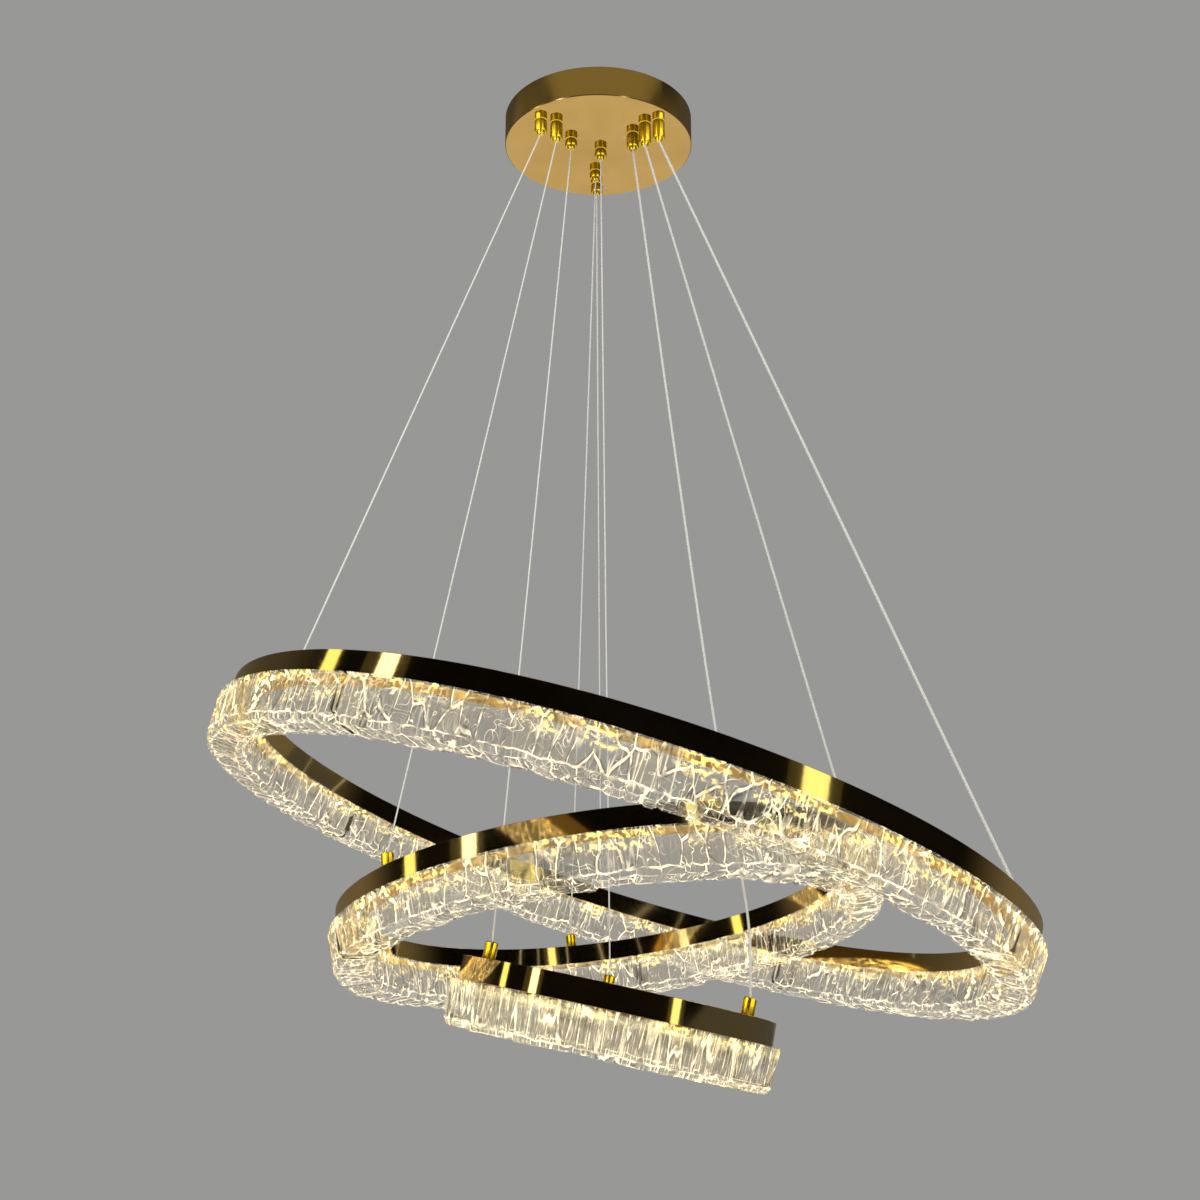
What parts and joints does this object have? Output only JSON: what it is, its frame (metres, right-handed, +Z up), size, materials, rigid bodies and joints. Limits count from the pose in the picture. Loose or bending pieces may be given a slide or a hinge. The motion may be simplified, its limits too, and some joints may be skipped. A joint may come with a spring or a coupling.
{
  "type": "ring chandelier",
  "caption": "Ceiling pendant of tilted, interlaced gold gutter rings that light ice-cut clear acrylic below them, hung on wires from a shallow round canopy.",
  "frame": {"origin": "centre of the ceiling face, on top of the bracket inside the canopy", "axes": "+Z up towards the ceiling, +Y away from the front view, +X to the right of the front view"},
  "size_m": [0.7638, 0.7855, 0.9936],
  "materials": {
    "canopy_gold": "gold-coloured plating on sheet steel, mirror-polished wall, satin face",
    "plated_steel": "zinc-plated",
    "screw_steel": "gold-coloured",
    "driver_case": "matt white",
    "terminal_plastic": "natural nylon",
    "clamp_plastic": "matt white",
    "nut_brass": "bright",
    "gripper_brass": "polished gold-coloured",
    "nose_brass": "polished gold-coloured",
    "ferrule_brass": "polished gold-coloured",
    "wire_jacket": "clear jacket over plated wire",
    "wire_steel": "bright stranded steel",
    "ring_gold": "gold-coloured plating on sheet steel, mirror-polished",
    "led_board": "white solder mask",
    "led_chip": "warm-white light source",
    "ice_acrylic": "clear cast acrylic with ice-cut facets"
  },
  "bodies": {
    "canopy": {"cable_clamp": "clamp_plastic", "canopy_cover": "canopy_gold", "canopy_grub_screws": "screw_steel", "ceiling_bracket": "plated_steel", "gripper_large_far": "gripper_brass", "gripper_large_left": "gripper_brass", "gripper_large_right": "gripper_brass", "gripper_medium_far": "gripper_brass", "gripper_medium_left": "gripper_brass", "gripper_medium_right": "gripper_brass", "gripper_nuts": "nut_brass", "gripper_small_far": "gripper_brass", "gripper_small_left": "gripper_brass", "gripper_small_right": "gripper_brass", "led_driver": "driver_case", "terminal_block": "terminal_plastic", "wire_large_far": "wire_steel", "wire_large_left": "wire_steel", "wire_large_right": "wire_jacket", "wire_medium_far": "wire_steel", "wire_medium_left": "wire_steel", "wire_medium_right": "wire_jacket", "wire_small_far": "wire_steel", "wire_small_left": "wire_steel", "wire_small_right": "wire_jacket", "wire_tails": "wire_jacket"},
    "large_ring": {"large_ring_channel": "ring_gold", "large_ring_crystal_arc_1": "ice_acrylic", "large_ring_crystal_arc_2": "ice_acrylic", "large_ring_crystal_arc_3": "ice_acrylic", "large_ring_crystal_arc_4": "ice_acrylic", "large_ring_ferrule_nuts": "nut_brass", "large_ring_ferrules": "ferrule_brass", "large_ring_led_board": "led_board", "large_ring_led_chips": "led_chip"},
    "medium_ring": {"medium_ring_channel": "ring_gold", "medium_ring_crystal_arc_1": "ice_acrylic", "medium_ring_crystal_arc_2": "ice_acrylic", "medium_ring_crystal_arc_3": "ice_acrylic", "medium_ring_ferrule_nuts": "nut_brass", "medium_ring_ferrules": "ferrule_brass", "medium_ring_led_board": "led_board", "medium_ring_led_chips": "led_chip"},
    "small_ring": {"small_ring_channel": "ring_gold", "small_ring_crystal_arc_1": "ice_acrylic", "small_ring_crystal_arc_2": "ice_acrylic", "small_ring_ferrule_nuts": "nut_brass", "small_ring_ferrules": "ferrule_brass", "small_ring_led_board": "led_board", "small_ring_led_chips": "led_chip"},
    "release_nose_large_far_body": {"release_nose_large_far": "nose_brass"},
    "release_nose_large_left_body": {"release_nose_large_left": "nose_brass"},
    "release_nose_large_right_body": {"release_nose_large_right": "nose_brass"},
    "release_nose_medium_far_body": {"release_nose_medium_far": "nose_brass"},
    "release_nose_medium_left_body": {"release_nose_medium_left": "nose_brass"},
    "release_nose_medium_right_body": {"release_nose_medium_right": "nose_brass"},
    "release_nose_small_far_body": {"release_nose_small_far": "nose_brass"},
    "release_nose_small_left_body": {"release_nose_small_left": "nose_brass"},
    "release_nose_small_right_body": {"release_nose_small_right": "nose_brass"}
  },
  "joints": [
    {"name": "large_ring_height", "type": "slide", "parent": "canopy", "child": "large_ring", "axis": [0, 0, 1], "range_m": [0, 0.25], "deforming": ["wire_large_left", "wire_large_right", "wire_large_far"]},
    {"name": "medium_ring_height", "type": "slide", "parent": "canopy", "child": "medium_ring", "axis": [0, 0, 1], "range_m": [0, 0.12], "deforming": ["wire_medium_left", "wire_medium_right", "wire_medium_far"]},
    {"name": "small_ring_height", "type": "slide", "parent": "canopy", "child": "small_ring", "axis": [0, 0, 1], "range_m": [0, 0.05], "deforming": ["wire_small_left", "wire_small_right", "wire_small_far"]},
    {"name": "release_large_left", "type": "slide", "parent": "canopy", "child": "release_nose_large_left_body", "axis": [0, 0, 1], "range_m": [0, 0.0018], "stiffness_N_per_m": 600, "springref_m": -0.004},
    {"name": "release_large_right", "type": "slide", "parent": "canopy", "child": "release_nose_large_right_body", "axis": [0, 0, 1], "range_m": [0, 0.0018], "stiffness_N_per_m": 600, "springref_m": -0.004},
    {"name": "release_large_far", "type": "slide", "parent": "canopy", "child": "release_nose_large_far_body", "axis": [0, 0, 1], "range_m": [0, 0.0018], "stiffness_N_per_m": 600, "springref_m": -0.004},
    {"name": "release_medium_left", "type": "slide", "parent": "canopy", "child": "release_nose_medium_left_body", "axis": [0, 0, 1], "range_m": [0, 0.0018], "stiffness_N_per_m": 600, "springref_m": -0.004},
    {"name": "release_medium_right", "type": "slide", "parent": "canopy", "child": "release_nose_medium_right_body", "axis": [0, 0, 1], "range_m": [0, 0.0018], "stiffness_N_per_m": 600, "springref_m": -0.004},
    {"name": "release_medium_far", "type": "slide", "parent": "canopy", "child": "release_nose_medium_far_body", "axis": [0, 0, 1], "range_m": [0, 0.0018], "stiffness_N_per_m": 600, "springref_m": -0.004},
    {"name": "release_small_left", "type": "slide", "parent": "canopy", "child": "release_nose_small_left_body", "axis": [0, 0, 1], "range_m": [0, 0.0018], "stiffness_N_per_m": 600, "springref_m": -0.004},
    {"name": "release_small_right", "type": "slide", "parent": "canopy", "child": "release_nose_small_right_body", "axis": [0, 0, 1], "range_m": [0, 0.0018], "stiffness_N_per_m": 600, "springref_m": -0.004},
    {"name": "release_small_far", "type": "slide", "parent": "canopy", "child": "release_nose_small_far_body", "axis": [0, 0, 1], "range_m": [0, 0.0018], "stiffness_N_per_m": 600, "springref_m": -0.004}
  ]
}
